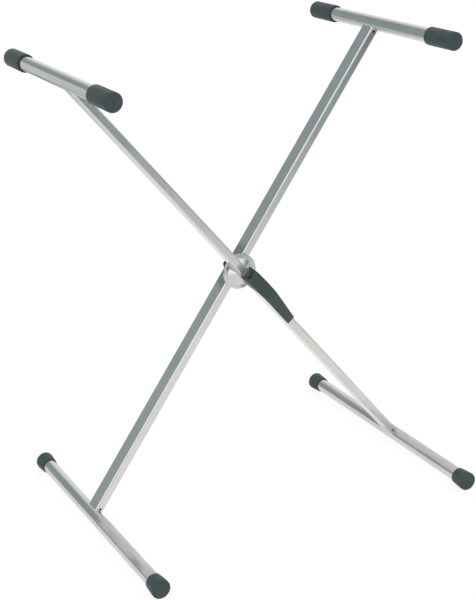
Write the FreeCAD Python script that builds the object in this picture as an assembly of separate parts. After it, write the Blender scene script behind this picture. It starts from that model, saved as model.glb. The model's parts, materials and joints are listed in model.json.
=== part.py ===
"""Single X keyboard stand: two welded legs, a toothed clutch between them and a cam lever.

Each leg is modelled upright in its own frame, with the pivot axis along Y through the origin and the
tube along Z.  The front leg is then leaned to one side and the rear leg, which is the same weldment
turned half round, to the other.  Lengths are in millimetres, angles in degrees.
"""

import FreeCAD
import Part
import math
import os

# Stance: the legs cross at the pivot, and the bars lie along Y
opening_angle = 75.6
arm_reach = 495.0
foot_reach = 499.0

# Leg tube: rectangular, narrow side to the front
leg_width = 15.0
leg_depth = 30.0
leg_wall = 1.5
leg_corner_radius = 2.5
leg_gap = 15.0
vent_diameter = 4.5
vent_edge = 0.8

# Round bars on the ends of the legs
bar_diameter = 25.0
bar_wall = 1.5
arm_length = 411.0
foot_length = 500.0
weld_gap = 0.05

# Rubber sleeves on the arms
sleeve_diameter = 31.0
sleeve_length = 65.0
sleeve_end_wall = 4.0
sleeve_end_radius = 3.5
sleeve_mouth_radius = 0.8

# Rubber caps on the feet, flared towards their closed end
cap_end_diameter = 33.0
cap_mouth_diameter = 29.0
cap_length = 29.0
cap_end_wall = 5.0
cap_end_land = 8.0
cap_end_radius = 3.0
cap_mouth_radius = 0.8
rubber_fit = 0.05

# Clutch discs, turned, with a ring of radial teeth on the faces that meet
disc_diameter = 63.5
disc_hub_diameter = 26.0
disc_cone_diameter = 49.0
disc_cone_drop = 3.3
disc_ring_drop = 0.3
disc_edge_radius = 1.2
disc_lip_width = 4.0
disc_seam = 0.35
tooth_count = 30
tooth_depth = 1.5
tooth_groove_share = 0.86
crest_clearance = 0.15
spring_pocket_diameter = 24.0
spring_pocket_depth = 4.0

# Release spring between the discs
spring_diameter = 17.0
spring_wire = 1.6
spring_turns = 2.5
spring_seat_gap = 0.05
spring_end_gap = 0.35

# Eye bolt, nut and washer on the pivot axis
bolt_diameter = 8.0
bolt_running_fit = 0.1
bolt_play = 0.5
bolt_end_stub = 2.5
eye_diameter = 16.0
eye_thickness = 8.0
bush_side_gap = 0.3
bush_end_gap = 0.05
washer_diameter = 20.0
washer_thickness = 1.6
nut_width = 13.0
nut_height = 7.8
nut_chamfer = 0.9
collar_diameter = 11.6
collar_height = 1.7
collar_radius = 0.8
nut_fit = 0.02
clamp_clearance = 0.1

# Saddle on the front of the tube, under the cams
saddle_thickness = 2.5
saddle_wall = 1.0
saddle_flange = 7.0
saddle_length = 32.0
saddle_corner_radius = 0.9
saddle_fit = 0.05

# Cams and the pin they turn on
cam_radius = 10.0
cam_throw = 2.0
cam_clearance = 0.3
cam_offset_angle = 30.0
pin_diameter = 6.0
pin_fit = 0.02
pin_running_fit = 0.05
pin_end_radius = 0.6
eye_side_clearance = 0.5

# Lever: a channel, bowed away from the leg, with ears beside the tube
lever_reach = 120.0
lever_bend_reach = 36.0
lever_bend_rise = 20.0
lever_bend_radius = 35.0
lever_tip_drop = 4.0
lever_tip_width = 16.0
lever_tip_radius = 1.8
lever_web = 3.0
lever_skirt = 3.0
lever_skirt_depth = 8.5
lever_tip_depth = 7.0
lever_crown_reach = 13.0
lever_crown_radius = 3.0
lever_edge_radius = 1.6
lever_neck_radius = 8.0
lever_hub_reach = 12.0
lever_hub_radius = 4.0
lever_ear_reach = 21.0
lever_ear_rise = 9.0
lever_ear_radius = 3.5
lever_ear_overlap = 1.0
lever_side_clearance = 0.45
lever_rib_thickness = 2.0
lever_rib_shares = (0.48, 0.66, 0.84)

# Cuts run past the faces that they open by this much
overrun = 1.0

# Places worked out from the sizes above
lean_angle = opening_angle / 2
pivot_height = foot_reach * math.cos(math.radians(lean_angle)) + cap_end_diameter / 2
leg_back = -leg_gap / 2
leg_front = leg_back - leg_depth
leg_centre = leg_back - leg_depth / 2
pin_height = saddle_thickness + cam_clearance + cam_radius + cam_throw / 2
pin_y = leg_front - pin_height
ear_inner = leg_width / 2 + saddle_fit + saddle_wall + lever_side_clearance
ear_outer = ear_inner + lever_skirt

ORIGIN = FreeCAD.Vector(0, 0, 0)
ACROSS = FreeCAD.Vector(1, 0, 0)
PIVOT_AXIS = FreeCAD.Vector(0, 1, 0)
UP = FreeCAD.Vector(0, 0, 1)


def rounded_outline(corners):
    """Closed outline through (point, radius) corners; a radius of 0 leaves the corner sharp."""
    ends = []
    edges = []
    for index, (point, radius) in enumerate(corners):
        back = (corners[index - 1][0] - point).normalize()
        ahead = (corners[(index + 1) % len(corners)][0] - point).normalize()
        if radius == 0:
            ends.append((point, point))
            continue
        half_angle = back.getAngle(ahead) / 2
        tangent = radius / math.tan(half_angle)
        to_middle = radius / math.sin(half_angle) - radius
        start = point + back * tangent
        stop = point + ahead * tangent
        middle = point + (back + ahead).normalize() * to_middle
        edges.append(Part.Arc(start, middle, stop).toShape())
        ends.append((start, stop))
    for index in range(len(ends)):
        start = ends[index - 1][1]
        stop = ends[index][0]
        edges.append(Part.LineSegment(start, stop).toShape())
    return Part.Wire(Part.__sortEdges__(edges))


def turned(corners):
    """Solid of revolution about the Y axis from (radius, y, corner radius) corners."""
    points = [(FreeCAD.Vector(radius, y, 0), corner) for radius, y, corner in corners]
    return Part.Face(rounded_outline(points)).revolve(ORIGIN, PIVOT_AXIS, 360)


def cylinder_y(radius, start, stop):
    """Round bar on the Y axis from start to stop."""
    return Part.makeCylinder(radius, stop - start, FreeCAD.Vector(0, start, 0), PIVOT_AXIS)


def cylinder_x(radius, half_length, centre):
    """Round bar along X, as long to either side of its centre."""
    start = centre - ACROSS * half_length
    return Part.makeCylinder(radius, half_length * 2, start, ACROSS)


def mirrored_y(shape):
    """The shape on the other side of the plane y = 0."""
    return shape.mirror(ORIGIN, PIVOT_AXIS)


def lifted(shape, height):
    """A copy of the shape, moved up along the leg."""
    copy = shape.copy()
    copy.translate(UP * height)
    return copy


def rectangle_outline(width, depth, radius):
    """Rounded rectangle across the leg, centred on the tube."""
    half_width = width / 2
    half_depth = depth / 2
    corners = []
    for x, y in ((-half_width, -half_depth), (half_width, -half_depth),
                 (half_width, half_depth), (-half_width, half_depth)):
        corners.append((FreeCAD.Vector(x, leg_centre + y, 0), radius))
    return rounded_outline(corners)


def leg_tube():
    """Rectangular tube, cut round at both ends where it is welded to the bars."""
    inner_radius = leg_corner_radius - leg_wall
    outer = Part.Face(rectangle_outline(leg_width, leg_depth, leg_corner_radius))
    inner = Part.Face(rectangle_outline(leg_width - 2 * leg_wall, leg_depth - 2 * leg_wall, inner_radius))
    tube = lifted(outer.cut(inner), -foot_reach).extrude(UP * (foot_reach + arm_reach))

    reach_past = leg_depth + leg_gap + overrun
    saddle_cut = cylinder_y(bar_diameter / 2 + weld_gap, -reach_past, reach_past)
    vent = cylinder_y(vent_diameter / 2, leg_front - overrun, leg_back + overrun)
    vent_inset = bar_diameter / 2 + vent_edge + vent_diameter / 2
    bolt_hole = cylinder_y(bolt_diameter / 2 + bolt_play, leg_front - overrun, leg_back + overrun)
    cuts = [lifted(saddle_cut, arm_reach), lifted(saddle_cut, -foot_reach), bolt_hole]
    cuts += [lifted(vent, arm_reach - vent_inset), lifted(vent, vent_inset - foot_reach)]
    return tube.cut(cuts)


def bar_tube(length):
    """Round tube along Y, centred on the stand."""
    outer = cylinder_y(bar_diameter / 2, -length / 2, length / 2)
    bore = cylinder_y(bar_diameter / 2 - bar_wall, -length / 2 - overrun, length / 2 + overrun)
    return outer.cut(bore)


def arm_sleeve():
    """Closed rubber sleeve on the near end of an arm."""
    end = -arm_length / 2
    mouth = end + sleeve_length
    floor = end + sleeve_end_wall
    bore = bar_diameter / 2 + rubber_fit
    outer = sleeve_diameter / 2
    return turned([
        (0, end, 0),
        (outer, end, sleeve_end_radius),
        (outer, mouth, sleeve_mouth_radius),
        (bore, mouth, sleeve_mouth_radius),
        (bore, floor, 0),
        (0, floor, 0),
    ])


def foot_cap():
    """Closed rubber cap on the near end of a foot: a land to stand on, then a taper to the mouth."""
    end = -foot_length / 2
    mouth = end + cap_length
    floor = end + cap_end_wall
    bore = bar_diameter / 2 + rubber_fit
    return turned([
        (0, end, 0),
        (cap_end_diameter / 2, end, cap_end_radius),
        (cap_end_diameter / 2, end + cap_end_land, cap_end_land / 2),
        (cap_mouth_diameter / 2, mouth, cap_mouth_radius),
        (bore, mouth, cap_mouth_radius),
        (bore, floor, 0),
        (0, floor, 0),
    ])


def tooth_groove(crest_y):
    """One V groove of the tooth ring, pointing along X and growing with its radius."""
    rise = (tooth_depth + overrun) / tooth_depth
    half_share = math.tan(math.pi / tooth_count) * tooth_groove_share * rise
    inner = spring_pocket_diameter / 2 - overrun
    outer = disc_diameter / 2 - disc_lip_width
    wires = []
    for radius in (inner, outer):
        half_width = radius * half_share
        root = FreeCAD.Vector(radius, crest_y - tooth_depth, 0)
        left = FreeCAD.Vector(radius, crest_y + overrun, -half_width)
        right = FreeCAD.Vector(radius, crest_y + overrun, half_width)
        wires.append(Part.makePolygon([root, left, right, root]))
    return Part.makeLoft(wires, True, True)


def clutch_disc(phase):
    """Disc on the back of the tube: a coned outer face in a plain ring, and teeth and a spring pocket inside."""
    rim = disc_diameter / 2
    bore = bolt_diameter / 2 + bolt_play
    crest_y = -crest_clearance
    lip_y = crest_y - disc_seam
    pocket_y = crest_y - spring_pocket_depth
    pocket = spring_pocket_diameter / 2
    ring = rim - disc_lip_width
    blank = turned([
        (bore, leg_back, 0),
        (disc_hub_diameter / 2, leg_back, 0),
        (disc_cone_diameter / 2, leg_back + disc_cone_drop, 0),
        (rim, leg_back + disc_cone_drop + disc_ring_drop, disc_edge_radius),
        (rim, lip_y, disc_seam),
        (ring, lip_y, 0),
        (ring, crest_y, 0),
        (pocket, crest_y, 0),
        (pocket, pocket_y, 0),
        (bore, pocket_y, 0),
    ])
    groove = tooth_groove(crest_y)
    grooves = []
    for index in range(tooth_count):
        copy = groove.copy()
        copy.rotate(ORIGIN, PIVOT_AXIS, -(phase + index * 360 / tooth_count))
        grooves.append(copy)
    return blank.cut(grooves)


def leg_bush():
    """Bush inside the tube, from wall to wall, round the bolt; its ends are as round as the tube's corners."""
    start = leg_front + leg_wall + bush_end_gap
    stop = leg_back - leg_wall - bush_end_gap
    radius = leg_width / 2 - leg_wall - bush_side_gap
    bore = bolt_diameter / 2 + bolt_running_fit
    end_radius = leg_corner_radius - leg_wall
    return turned([
        (bore, start, 0), (radius, start, end_radius),
        (radius, stop, end_radius), (bore, stop, 0),
    ])


def leg_pieces(phase):
    """Pieces of one leg in its own frame, by the last part of their names."""
    arm_tube = bar_tube(arm_length - 2 * (sleeve_end_wall + rubber_fit))
    foot_tube = bar_tube(foot_length - 2 * (cap_end_wall + rubber_fit))
    sleeve = arm_sleeve()
    cap = foot_cap()
    return {
        "leg_tube": leg_tube(),
        "arm_tube": lifted(arm_tube, arm_reach),
        "foot_tube": lifted(foot_tube, -foot_reach),
        "arm_sleeve_near": lifted(sleeve, arm_reach),
        "arm_sleeve_far": lifted(mirrored_y(sleeve), arm_reach),
        "foot_cap_near": lifted(cap, -foot_reach),
        "foot_cap_far": lifted(mirrored_y(cap), -foot_reach),
        "clutch_disc": clutch_disc(phase),
        "leg_bush": leg_bush(),
    }


def spring_biarc(start, start_way, stop, stop_way):
    """Two tangent arcs from start to stop that keep the given directions."""
    chord = stop - start
    both = start_way + stop_way
    square = both.dot(both) - 4
    along = chord.dot(both)
    reach = (along - math.sqrt(along * along - square * chord.dot(chord))) / square
    first = start + start_way * reach
    last = stop - stop_way * reach
    joint = (first + last) / 2
    arcs = []
    for near, knee, far in ((start, first, joint), (joint, last, stop)):
        weight = (far - near).Length / (2 * reach)
        middle = (near + knee * (2 * weight) + far) / (2 + 2 * weight)
        arcs.append(Part.Arc(near, middle, far).toShape())
    return arcs


def release_spring():
    """Coil spring round the bolt: quarter turns of a helix, swept by the wire."""
    radius = spring_diameter / 2
    pocket_y = crest_clearance + spring_pocket_depth
    low = -pocket_y + spring_seat_gap + spring_wire / 2
    high = pocket_y - spring_end_gap - spring_wire / 2
    steps = round(spring_turns * 4)
    points = []
    ways = []
    for index in range(steps + 1):
        turn = index * math.pi / 2
        climb = (high - low) / (steps * math.pi / 2)
        y = low + climb * turn
        points.append(FreeCAD.Vector(radius * math.cos(turn), y, radius * math.sin(turn)))
        way = FreeCAD.Vector(-radius * math.sin(turn), climb, radius * math.cos(turn))
        ways.append(way.normalize())
    arcs = []
    for index in range(steps):
        arcs += spring_biarc(points[index], ways[index], points[index + 1], ways[index + 1])
    path = Part.Wire(arcs)
    section = Part.Wire(Part.makeCircle(spring_wire / 2, points[0], ways[0]))
    turn_gap = (high - low) / spring_turns - spring_wire
    print("gap between the turns of the spring: %.2f" % turn_gap)
    return path.makePipeShell([section], True, False)


def thrust_saddle():
    """Channel clipped over the front of the tube, with a hole for the bolt."""
    inner = leg_width / 2 + saddle_fit
    outer = inner + saddle_wall
    front = leg_front - saddle_thickness
    edge = leg_front + saddle_flange
    seat = leg_front - saddle_fit
    corners = [
        (-outer, front, saddle_corner_radius), (outer, front, saddle_corner_radius),
        (outer, edge, 0), (inner, edge, 0),
        (inner, seat, 0), (-inner, seat, 0),
        (-inner, edge, 0), (-outer, edge, 0),
    ]
    bottom = -saddle_length / 2
    outline = rounded_outline([(FreeCAD.Vector(x, y, bottom), radius) for x, y, radius in corners])
    channel = Part.Face(outline).extrude(UP * saddle_length)
    hole = cylinder_y(bolt_diameter / 2 + bolt_play, front - overrun, leg_front + overrun)
    return channel.cut(hole)


def nut_start():
    """Where the nut begins on the bolt, behind the rear leg and its washer."""
    return -leg_front + clamp_clearance + washer_thickness


def clamp_bolt():
    """Eye bolt through both legs: the eye stands in front, the thread ends behind the nut."""
    centre = FreeCAD.Vector(0, pin_y, 0)
    end = nut_start() + nut_height + collar_height + bolt_end_stub
    eye = cylinder_x(eye_diameter / 2, eye_thickness / 2, centre)
    shank = cylinder_y(bolt_diameter / 2, pin_y, end)
    tip = [edge for edge in shank.Edges if edge.BoundBox.YMin > end - bolt_end_stub and edge.Closed]
    shank = shank.makeChamfer(bolt_end_stub / 2, tip)
    hole = cylinder_x(pin_diameter / 2 + pin_fit, eye_thickness, centre)
    return eye.fuse(shank).cut(hole).removeSplitter()


def cam_pin():
    """Cross pin through the ears of the lever and the eye of the bolt."""
    pin = cylinder_x(pin_diameter / 2, ear_outer, FreeCAD.Vector(0, pin_y, 0))
    rims = [edge for edge in pin.Edges if edge.Closed]
    return pin.makeFillet(pin_end_radius, rims)


def bolt_washer():
    """Flat washer behind the rear leg."""
    start = -leg_front + clamp_clearance
    stop = nut_start()
    hole = cylinder_y(bolt_diameter / 2 + nut_fit, start - overrun, stop + overrun)
    return cylinder_y(washer_diameter / 2, start, stop).cut(hole)


def lock_nut():
    """Hexagon nut with chamfered corners and a round locking collar."""
    start = nut_start()
    stop = start + nut_height
    corner = nut_width / math.sqrt(3)
    points = []
    for index in range(7):
        turn = index * math.pi / 3
        points.append(FreeCAD.Vector(corner * math.cos(turn), start, corner * math.sin(turn)))
    prism = Part.Face(Part.makePolygon(points)).extrude(PIVOT_AXIS * nut_height)
    flat = nut_width / 2
    bevel = nut_chamfer * corner / flat
    envelope = turned([
        (0, start, 0), (flat, start, 0),
        (flat + bevel, start + bevel / 2, 0), (flat + bevel, stop - bevel / 2, 0),
        (flat, stop, 0), (0, stop, 0),
    ])
    top = stop + collar_height
    collar = turned([
        (0, start, 0), (collar_diameter / 2, start, 0),
        (collar_diameter / 2, top, collar_radius), (0, top, 0),
    ])
    hole = cylinder_y(bolt_diameter / 2 + nut_fit, start - overrun, top + overrun)
    return prism.common(envelope).fuse(collar).cut(hole).removeSplitter()


def lever_point(x, along, out):
    """A place on the lever: along the leg downwards from the pin, and out from the pin to the front."""
    return FreeCAD.Vector(x, pin_y - out, -along)


def lever_slab(half_width, corners):
    """Side outline of (along, out, radius) corners, extruded across the lever."""
    outline = [(lever_point(-half_width, along, out), radius) for along, out, radius in corners]
    return Part.Face(rounded_outline(outline)).extrude(ACROSS * (2 * half_width))


def lever_plan(hub_half, tip_half, inset):
    """Seen from the front: straight beside the hub, then tapered to the tip."""
    near = lever_bend_rise + lever_edge_radius + overrun
    far = -pin_height - lever_ear_overlap - lever_ear_rise
    top = -lever_ear_reach - overrun
    tip = lever_reach - inset
    corner = lever_tip_radius if inset == 0 else 0
    stretch = (tip - lever_hub_reach) / (lever_reach - lever_hub_reach)
    end_half = hub_half + (tip_half - hub_half) * stretch
    places = [
        (-hub_half, top, 0), (hub_half, top, 0), (hub_half, lever_hub_reach, 0),
        (end_half, tip, corner), (-end_half, tip, corner), (-hub_half, lever_hub_reach, 0),
    ]
    outline = rounded_outline([(lever_point(x, along, near), radius) for x, along, radius in places])
    return Part.Face(outline).extrude(PIVOT_AXIS * (near - far))


def lever_shell():
    """Outside of the lever: crown over the pin, bowed arm, and ears beside the tube."""
    crown = eye_diameter / 2 + eye_side_clearance + lever_web
    back = -pin_height - lever_ear_overlap
    slab = lever_slab(ear_outer, [
        (-lever_crown_reach, crown, lever_crown_radius),
        (lever_bend_reach, lever_bend_rise, lever_bend_radius),
        (lever_reach, -lever_tip_drop, 0),
        (lever_reach, -lever_tip_drop - lever_tip_depth, 0),
        (lever_bend_reach, lever_bend_rise - lever_skirt_depth, lever_bend_radius - lever_skirt_depth),
        (lever_hub_reach, crown - lever_skirt_depth, lever_neck_radius),
        (lever_hub_reach, back, lever_hub_radius),
        (-lever_ear_reach + lever_ear_rise / 2, back, lever_ear_radius),
        (-lever_ear_reach, back + lever_ear_rise, lever_ear_radius),
    ])
    return slab.common(lever_plan(ear_outer, lever_tip_width / 2, 0)).removeSplitter()


def lever_hollow():
    """Room inside the channel, behind the web and between the skirts."""
    crown = eye_diameter / 2 + eye_side_clearance
    deep = -pin_height - lever_ear_overlap - lever_ear_rise
    tip = lever_reach - lever_skirt
    slab = lever_slab(ear_outer, [
        (-lever_ear_reach - overrun, crown, 0),
        (-lever_crown_reach, crown, 0),
        (lever_bend_reach, lever_bend_rise - lever_web, lever_bend_radius - lever_web),
        (tip, -lever_tip_drop - lever_web, 0),
        (tip, deep, 0),
        (-lever_ear_reach - overrun, deep, 0),
    ])
    tip_inner = lever_tip_width / 2 - lever_skirt
    return slab.common(lever_plan(ear_inner, tip_inner, lever_skirt))


def lever_outer_edges(shell):
    """Edges along the front outline of the lever, which are rounded; the rounding runs on round the ears."""
    crown = eye_diameter / 2 + eye_side_clearance + lever_web
    edges = []
    for edge in shell.Edges:
        middle = edge.valueAt((edge.FirstParameter + edge.LastParameter) / 2)
        along = -middle.z
        out = pin_y - middle.y
        if along < lever_bend_reach:
            rise = (lever_bend_rise - crown) / (lever_bend_reach + lever_crown_reach)
        else:
            rise = -(lever_bend_rise + lever_tip_drop) / (lever_reach - lever_bend_reach)
        front = lever_bend_rise + rise * (along - lever_bend_reach)
        if along > 0 and abs(middle.x) > lever_skirt and abs(front - out) < lever_tip_depth / 3:
            edges.append(edge)
    return edges


def lever_ribs(channel):
    """Cross ribs that stiffen the channel, cut from the room inside it."""
    plates = []
    for share in lever_rib_shares:
        base = lever_point(-ear_outer, share * lever_reach, lever_bend_rise)
        plates.append(Part.makeBox(2 * ear_outer, 2 * lever_bend_rise, lever_rib_thickness, base))
    return [channel.common(plate) for plate in plates]


def cam_lever():
    """Moulded lever: channel shell, ribs, and two cams with a slot for the eye between them."""
    shell = lever_shell()
    shell = shell.makeFillet(lever_edge_radius, lever_outer_edges(shell))
    hollow = lever_hollow()
    channel = shell.common(hollow)
    angle = math.radians(cam_offset_angle)
    cam_centre = lever_point(0, cam_throw * math.cos(angle), -cam_throw * math.sin(angle))
    cams = cylinder_x(cam_radius, ear_inner + lever_skirt / 2, cam_centre)
    slot_radius = cam_radius + cam_throw
    slot = cylinder_x(slot_radius, eye_thickness / 2 + eye_side_clearance, lever_point(0, 0, 0))
    pin_hole = cylinder_x(pin_diameter / 2 + pin_running_fit, ear_outer + overrun, lever_point(0, 0, 0))
    body = shell.cut(hollow).fuse([cams.cut(slot)] + lever_ribs(channel))
    return body.cut(pin_hole)


def placed(shape, lean):
    """Lean a leg's piece about the pivot axis and lift the pivot to its height."""
    copy = shape.copy()
    copy.rotate(ORIGIN, PIVOT_AXIS, lean)
    copy.translate(UP * pivot_height)
    return copy


def stand_pieces():
    """Every piece of the stand in its place, by name."""
    pieces = {}
    for name, shape in leg_pieces(0).items():
        pieces["front_" + name] = placed(shape, -lean_angle)

    mesh_phase = 180 - opening_angle - 180 / tooth_count
    for name, shape in leg_pieces(mesh_phase).items():
        turned_round = shape.copy()
        turned_round.rotate(ORIGIN, UP, 180)
        ending = {"near": "far", "far": "near"}.get(name.rsplit("_", 1)[-1])
        own_name = name.rsplit("_", 1)[0] + "_" + ending if ending else name
        pieces["rear_" + own_name] = placed(turned_round, lean_angle)

    clamp = {
        "thrust_saddle": thrust_saddle(),
        "release_spring": release_spring(),
        "clamp_bolt": clamp_bolt(),
        "cam_pin": cam_pin(),
        "bolt_washer": bolt_washer(),
        "lock_nut": lock_nut(),
        "cam_lever": cam_lever(),
    }
    for name, shape in clamp.items():
        pieces[name] = placed(shape, -lean_angle)
    return pieces


os.makedirs("parts", exist_ok=True)
for node, solid in stand_pieces().items():
    solid.exportStep("parts/%s.step" % node)
    box = solid.BoundBox
    print("%-24s solids %d valid %s volume %9.1f  z %.2f to %.2f"
          % (node, len(solid.Solids), solid.isValid(), solid.Volume, box.ZMin, box.ZMax))
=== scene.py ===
"""Looks of a single X keyboard stand.

It has plated tube legs, moulded rubber ends, a toothed clutch and a cam lever.
"""

import json
import logging
import math
from collections.abc import Callable, Sequence
from dataclasses import dataclass
from enum import Enum
from typing import Any

import bmesh
import bpy
from mathutils import Matrix, Vector

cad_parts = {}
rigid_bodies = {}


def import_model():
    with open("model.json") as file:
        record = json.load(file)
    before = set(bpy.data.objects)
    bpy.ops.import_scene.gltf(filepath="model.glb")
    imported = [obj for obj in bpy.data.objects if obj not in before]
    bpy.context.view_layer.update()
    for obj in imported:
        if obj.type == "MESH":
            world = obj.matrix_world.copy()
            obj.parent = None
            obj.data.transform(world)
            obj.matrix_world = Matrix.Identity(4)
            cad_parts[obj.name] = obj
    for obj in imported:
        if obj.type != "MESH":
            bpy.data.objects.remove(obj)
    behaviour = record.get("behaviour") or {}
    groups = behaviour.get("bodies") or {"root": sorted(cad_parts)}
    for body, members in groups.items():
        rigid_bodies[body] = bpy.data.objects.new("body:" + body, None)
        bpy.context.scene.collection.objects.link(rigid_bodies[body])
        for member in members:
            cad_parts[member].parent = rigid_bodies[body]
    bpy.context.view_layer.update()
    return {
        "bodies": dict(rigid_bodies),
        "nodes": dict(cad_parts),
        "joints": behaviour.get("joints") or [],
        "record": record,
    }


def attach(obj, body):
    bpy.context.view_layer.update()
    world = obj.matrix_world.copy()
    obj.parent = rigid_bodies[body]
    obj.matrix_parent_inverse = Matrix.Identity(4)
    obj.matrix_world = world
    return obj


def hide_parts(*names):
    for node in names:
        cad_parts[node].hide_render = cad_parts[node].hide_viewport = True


LOG = logging.getLogger("keyboard_stand")
MM = 0.001
POLE_RADIUS = 1e-9

Colour = tuple[float, float, float]
Place = tuple[float, float, float]
Corner = tuple[float, float, float]
Span = tuple[float, float]
Outline = list[tuple[float, float]]


class Leg(Enum):
    """The two legs, by the name of the body that each one is."""

    FRONT = "front_leg"
    REAR = "rear_leg"

    @property
    def prefix(self) -> str:
        """First part of the names of the leg's pieces."""
        return self.value.split("_")[0]


class End(Enum):
    """The two ends of a bar, by the side of the stand that they are on."""

    NEAR = "near"
    FAR = "far"


class Grain(Enum):
    """Which way the fine lines of a metal run."""

    ALONG_FRONT_LEG = "along the front leg"
    ALONG_REAR_LEG = "along the rear leg"
    ROUND_THE_BAR = "round a bar"
    ROUND_THE_PIVOT = "round the pivot"


@dataclass(frozen=True)
class Stance:
    """Where the legs stand, in metres and radians."""

    lean: float = math.radians(37.8)
    pivot_height: float = 410.787 * MM
    arm_reach: float = 495 * MM
    foot_reach: float = 499 * MM

    def leg_frame(self, leg: Leg) -> Matrix:
        """Give the place of a leg.

        Args:
            leg: the leg.

        Returns:
            The matrix from the leg's own frame to the stand's. In the leg's frame the tube is along Z and
            the pivot along Y.
        """
        lift = Matrix.Translation((0, 0, self.pivot_height))
        if leg is Leg.FRONT:
            return lift @ Matrix.Rotation(-self.lean, 4, "Y")
        return lift @ Matrix.Rotation(self.lean, 4, "Y") @ Matrix.Rotation(math.pi, 4, "Z")

    def bar_frame(self, leg: Leg, reach: float, end: End) -> Matrix:
        """Give the place of one half of a bar.

        Args:
            leg: the leg that carries the bar.
            reach: how far up the leg the bar is.
            end: the end of the bar.

        Returns:
            The matrix from a frame whose Y axis is the bar, and whose -Y end is that end.
        """
        middle = self.leg_frame(leg) @ Vector((0, 0, reach))
        turn = 0.0 if end is End.NEAR else math.pi
        return Matrix.Translation(middle) @ Matrix.Rotation(turn, 4, "Z")


STANCE = Stance()


class Graph:
    """A node tree that is filled by short calls."""

    def __init__(self, tree: bpy.types.NodeTree) -> None:
        """Take a tree and empty it."""
        self.tree = tree
        tree.nodes.clear()

    def add(
        self,
        kind: str,
        settings: dict[str, Any] | None = None,
        inputs: dict[str | int, Any] | None = None,
    ) -> bpy.types.Node:
        """Add a node.

        Args:
            kind: Blender's name for the type of node.
            settings: properties of the node, which are set first.
            inputs: values or links, by the name or number of the socket.

        Returns:
            The node.
        """
        node = self.tree.nodes.new(kind)
        for name, value in (settings or {}).items():
            setattr(node, name, value)
        for name, value in (inputs or {}).items():
            self.feed(node.inputs[name], value)
        return node

    def feed(self, socket: bpy.types.NodeSocket, value: Any) -> None:
        """Set a socket, or link it where the value is an expression or a socket.

        Args:
            socket: the socket to fill.
            value: a plain value, an expression or a socket.
        """
        if isinstance(value, Expr):
            value = value.socket
        if isinstance(value, bpy.types.NodeSocket):
            self.tree.links.new(value, socket)
        else:
            socket.default_value = value

    def part(self, vector: bpy.types.NodeSocket, axis: str) -> "Expr":
        """Take one part of a vector as a value."""
        node = self.add("ShaderNodeSeparateXYZ", None, {0: vector})
        return Expr(self, node.outputs[axis])

    def blend(self, share: Any, first: Any, second: Any) -> bpy.types.NodeSocket:
        """Mix two colours.

        Args:
            share: how much of the second there is.
            first: a colour or a socket.
            second: a colour or a socket.

        Returns:
            A colour socket.
        """
        colours = [(*c, 1.0) if isinstance(c, tuple) else c for c in (first, second)]
        settings = {"data_type": "RGBA"}
        node = self.add("ShaderNodeMix", settings, {0: share, 6: colours[0], 7: colours[1]})
        return node.outputs[2]


class Expr:
    """A number that is worked out at each point, so that shader maths reads as Python."""

    def __init__(self, graph: Graph, socket: bpy.types.NodeSocket) -> None:
        """Wrap a socket of a graph."""
        self.graph = graph
        self.socket = socket

    def _math(self, operation: str, first: Any, second: Any = 0.0) -> "Expr":
        """Add a Math node and wrap what it gives."""
        node = self.graph.add("ShaderNodeMath", {"operation": operation}, {0: first, 1: second})
        return Expr(self.graph, node.outputs[0])

    def __add__(self, other: Any) -> "Expr":
        """Add."""
        return self._math("ADD", self, other)

    def __radd__(self, other: Any) -> "Expr":
        """Add to a number."""
        return self._math("ADD", other, self)

    def __sub__(self, other: Any) -> "Expr":
        """Subtract."""
        return self._math("SUBTRACT", self, other)

    def __rsub__(self, other: Any) -> "Expr":
        """Subtract from a number."""
        return self._math("SUBTRACT", other, self)

    def __mul__(self, other: Any) -> "Expr":
        """Multiply."""
        return self._math("MULTIPLY", self, other)

    def __rmul__(self, other: Any) -> "Expr":
        """Multiply a number."""
        return self._math("MULTIPLY", other, self)

    def __truediv__(self, other: Any) -> "Expr":
        """Divide."""
        return self._math("DIVIDE", self, other)

    def __rtruediv__(self, other: Any) -> "Expr":
        """Divide a number."""
        return self._math("DIVIDE", other, self)

    def __pow__(self, other: Any) -> "Expr":
        """Raise to a power."""
        return self._math("POWER", self, other)

    def __rpow__(self, other: Any) -> "Expr":
        """Raise a number to this power."""
        return self._math("POWER", other, self)

    def sine(self) -> "Expr":
        """Take the sine."""
        return self._math("SINE", self)

    def larger(self, other: Any) -> "Expr":
        """Take the larger of two values."""
        return self._math("MAXIMUM", self, other)

    def step(self, low: float, high: float) -> "Expr":
        """Rise smoothly from 0 at low to 1 at high, which may be below low.

        Args:
            low: where the step is 0.
            high: where the step is 1.

        Returns:
            The step.
        """
        turned = high < low
        ends = {"From Min": min(low, high), "From Max": max(low, high)}
        ends |= {"To Min": float(turned), "To Max": float(not turned), "Value": self}
        node = self.graph.add("ShaderNodeMapRange", {"interpolation_type": "SMOOTHSTEP"}, ends)
        return Expr(self.graph, node.outputs["Result"])

    def band(self, low: float, high: float, blur: float) -> "Expr":
        """Be 1 between two values and 0 outside them.

        Args:
            low: the lower value.
            high: the upper value.
            blur: how far inside them the band is whole.

        Returns:
            The band.
        """
        return self.step(low, low + blur) * self.step(high, high - blur)

    def swing(self, width: float) -> "Expr":
        """Turn a noise into a swing about 0, with this width from end to end."""
        return (self - 0.5) * width


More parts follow.
